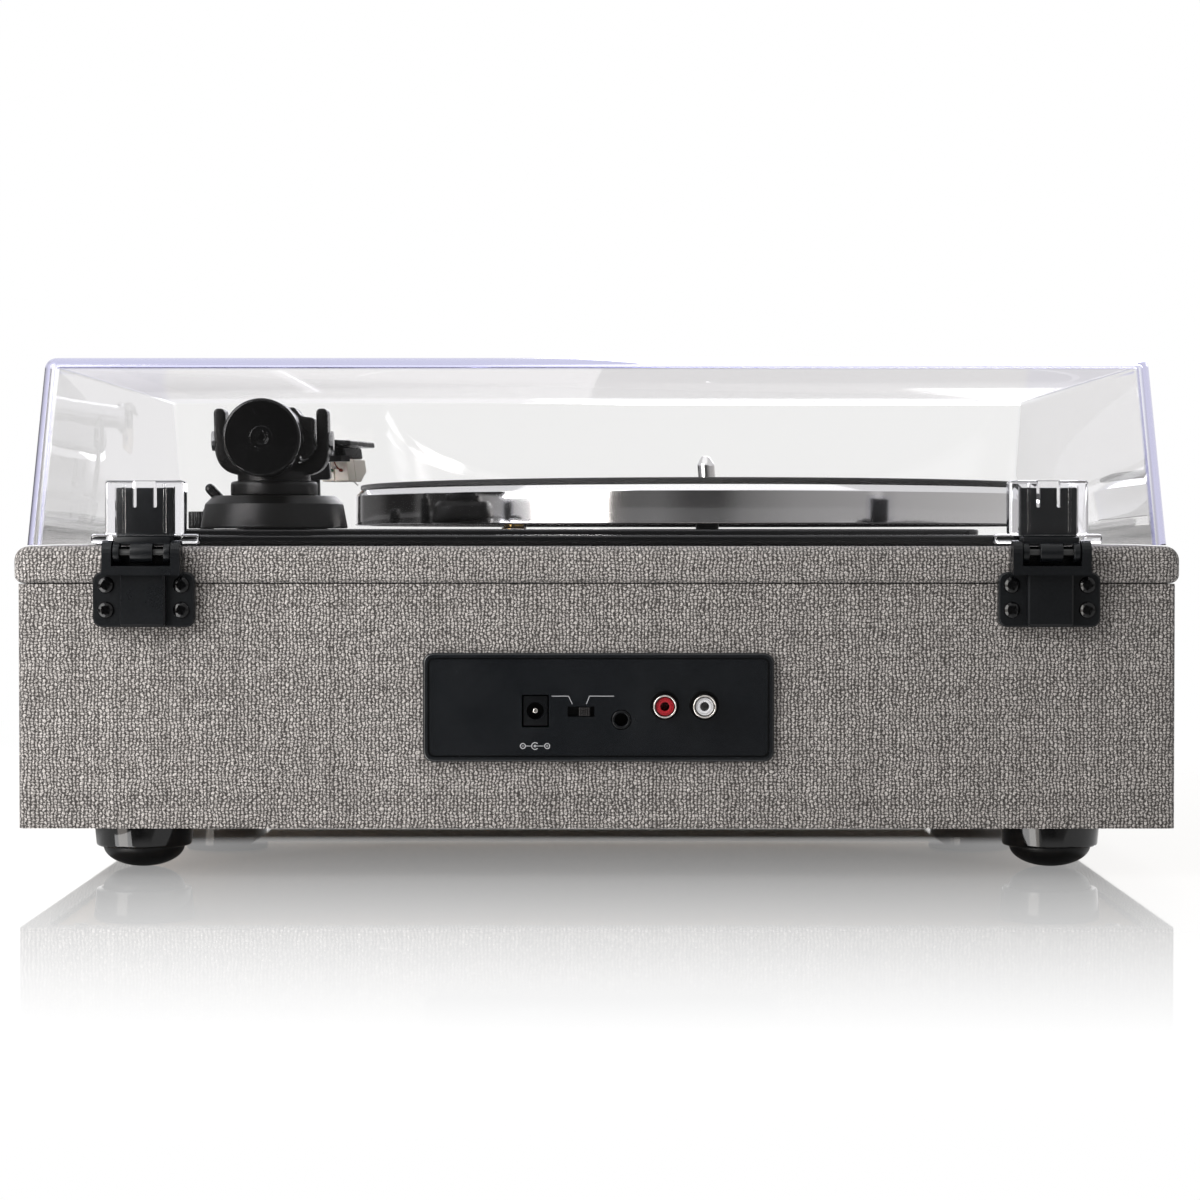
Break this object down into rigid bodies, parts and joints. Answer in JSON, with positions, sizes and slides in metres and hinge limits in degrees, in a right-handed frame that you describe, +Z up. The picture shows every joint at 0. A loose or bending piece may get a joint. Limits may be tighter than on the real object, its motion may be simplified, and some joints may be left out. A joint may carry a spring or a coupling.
{
  "type": "belt-drive turntable with dust cover",
  "caption": "Fabric-covered record player with a hinged clear dust cover, belt-driven platter, balanced tonearm and rear sockets.",
  "frame": {"origin": "on the surface it stands on, under the middle of its overall box", "axes": "+Z up, +X to the listener's right (the tonearm's side), +Y to the back, where the hinges and sockets are"},
  "size_m": [0.4144, 0.3642, 0.1855],
  "materials": {
    "cabinet_fabric": "coarse woven cloth, greige",
    "top_fabric": "coarse woven cloth, greige",
    "bottom_board": "plain brown fibreboard",
    "foot_rubber": "gloss cup over satin rubber",
    "speaker_black": "black basket and paper cone",
    "panel_plastic": "satin black",
    "jack_plastic": "satin black",
    "socket_metal": "bright plated",
    "socket_red": "red moulding",
    "socket_white": "white moulding",
    "slider_plastic": "ribbed black",
    "circuit_green": "solder mask",
    "hinge_plastic": "satin black",
    "pin_steel": "ground",
    "clear_plastic": "clear, faint lavender at the edges",
    "deck_plastic": "gloss black",
    "platter_metal": "turned and polished rim",
    "mat_felt": "dark felt",
    "spindle_steel": "polished",
    "bearing_metal": "black",
    "motor_steel": "plated can",
    "pulley_brass": "turned",
    "belt_rubber": "flat belt",
    "arm_base_plastic": "satin black",
    "yoke_plastic": "semi-gloss black",
    "pivot_steel": "turned",
    "arm_tube_metal": "gloss black",
    "weight_metal": "gloss black",
    "dial_plastic": "ribbed satin black",
    "headshell_plastic": "satin black",
    "cartridge_plastic": "cream moulding",
    "stylus_white": "white moulding and thin metal rod",
    "rest_plastic": "satin black",
    "lever_plastic": "satin black",
    "knob_plastic": "ribbed, semi-gloss black"
  },
  "bodies": {
    "cabinet": {"cabinet_walls": "cabinet_fabric", "top_board": "top_fabric", "bottom_panel": "bottom_board", "foot_back_left": "foot_rubber", "foot_back_right": "foot_rubber", "foot_front_left": "foot_rubber", "foot_front_right": "foot_rubber", "speaker_left": "speaker_black", "speaker_right": "speaker_black", "connector_panel": "panel_plastic", "dc_jack": "jack_plastic", "aux_jack": "jack_plastic", "rca_shell_red": "socket_metal", "rca_shell_white": "socket_metal", "rca_jack_red": "socket_red", "rca_jack_white": "socket_white", "switch_body": "jack_plastic", "circuit_board": "circuit_green", "hinge_bracket_left": "hinge_plastic", "hinge_bracket_right": "hinge_plastic", "hinge_pin_left": "pin_steel", "hinge_pin_right": "pin_steel", "deck_plate": "deck_plastic", "bearing_housing": "bearing_metal", "motor": "motor_steel", "motor_bracket": "motor_steel", "drive_belt": "belt_rubber", "arm_base": "arm_base_plastic", "arm_base_nut": "pin_steel", "arm_collar": "arm_base_plastic", "arm_rest": "rest_plastic", "cue_guide": "rest_plastic", "speed_control": "motor_steel", "volume_control": "motor_steel"},
    "lid": {"dust_cover": "clear_plastic", "hinge_leaf_left": "hinge_plastic", "hinge_leaf_right": "hinge_plastic"},
    "turning_platter": {"platter": "platter_metal", "mat": "mat_felt", "spindle": "spindle_steel"},
    "motor_rotor": {"motor_shaft": "pin_steel", "motor_pulley": "pulley_brass"},
    "arm_carrier": {"arm_yoke": "yoke_plastic", "pivot_screw_left": "pivot_steel", "pivot_screw_right": "pivot_steel"},
    "tonearm": {"pivot_block": "yoke_plastic", "arm_tube": "arm_tube_metal", "arm_stub": "pivot_steel", "headshell_collar": "arm_tube_metal", "headshell": "headshell_plastic", "cartridge_mount": "headshell_plastic", "cartridge_body": "cartridge_plastic", "stylus": "stylus_white"},
    "balance_weight": {"counterweight": "weight_metal"},
    "balance_dial": {"weight_dial": "dial_plastic"},
    "lever": {"cue_lever": "lever_plastic"},
    "lift": {"cue_lift": "rest_plastic"},
    "slider": {"switch_slider": "slider_plastic"},
    "speed_selector": {"speed_knob": "knob_plastic"},
    "volume_control_knob": {"volume_knob": "knob_plastic"}
  },
  "joints": [
    {"name": "lid_hinge", "type": "hinge", "parent": "cabinet", "child": "lid", "pos_m": [0, 0.17767, 0.1158], "axis": [-1, 0, 0], "range_deg": [0, 65]},
    {"name": "platter_spin", "type": "hinge", "parent": "cabinet", "child": "turning_platter", "pos_m": [-0.0456, -0.00632, 0.126], "axis": [0, 0, 1], "continuous": true},
    {"name": "motor_spin", "type": "hinge", "parent": "cabinet", "child": "motor_rotor", "pos_m": [0.0322, 0.07468, 0.1236], "axis": [0, 0, 1], "continuous": true},
    {"name": "arm_swing", "type": "hinge", "parent": "cabinet", "child": "arm_carrier", "pos_m": [0.121, 0.10967, 0.1572], "axis": [0, 0, -1], "range_deg": [0, 38]},
    {"name": "arm_tilt", "type": "hinge", "parent": "arm_carrier", "child": "tonearm", "pos_m": [0.121, 0.10967, 0.1572], "axis": [-1, 0, 0], "range_deg": [-0.5, 3.5]},
    {"name": "weight_turn", "type": "hinge", "parent": "tonearm", "child": "balance_weight", "pos_m": [0.121, 0.12848, 0.1572], "axis": [0, 1, 0], "range_deg": [-180, 180]},
    {"name": "dial_turn", "type": "hinge", "parent": "tonearm", "child": "balance_dial", "pos_m": [0.121, 0.12818, 0.1572], "axis": [0, 1, 0], "range_deg": [-180, 180]},
    {"name": "cue_lever_turn", "type": "hinge", "parent": "cabinet", "child": "lever", "pos_m": [0.1393, 0.10967, 0.1333], "axis": [0, 1, 0], "range_deg": [0, 34]},
    {"name": "cue_lift_slide", "type": "slide", "parent": "cabinet", "child": "lift", "axis": [0, 0, -1], "range_m": [0, 0.002]},
    {"name": "switch_slide", "type": "slide", "parent": "cabinet", "child": "slider", "axis": [1, 0, 0], "range_m": [0, 0.0025]},
    {"name": "speed_turn", "type": "hinge", "parent": "cabinet", "child": "speed_selector", "pos_m": [0.1585, 0.02268, 0.1248], "axis": [0, 0, -1], "range_deg": [0, 60]},
    {"name": "volume_turn", "type": "hinge", "parent": "cabinet", "child": "volume_control_knob", "pos_m": [0.158, -0.12632, 0.1248], "axis": [0, 0, -1], "range_deg": [0, 300]}
  ],
  "couplings": [
    {"joint": "motor_spin", "follows": "platter_spin", "ratio": 24.42},
    {"joint": "cue_lever_turn", "follows": "cue_lift_slide", "rad_per_m": 296.71}
  ]
}
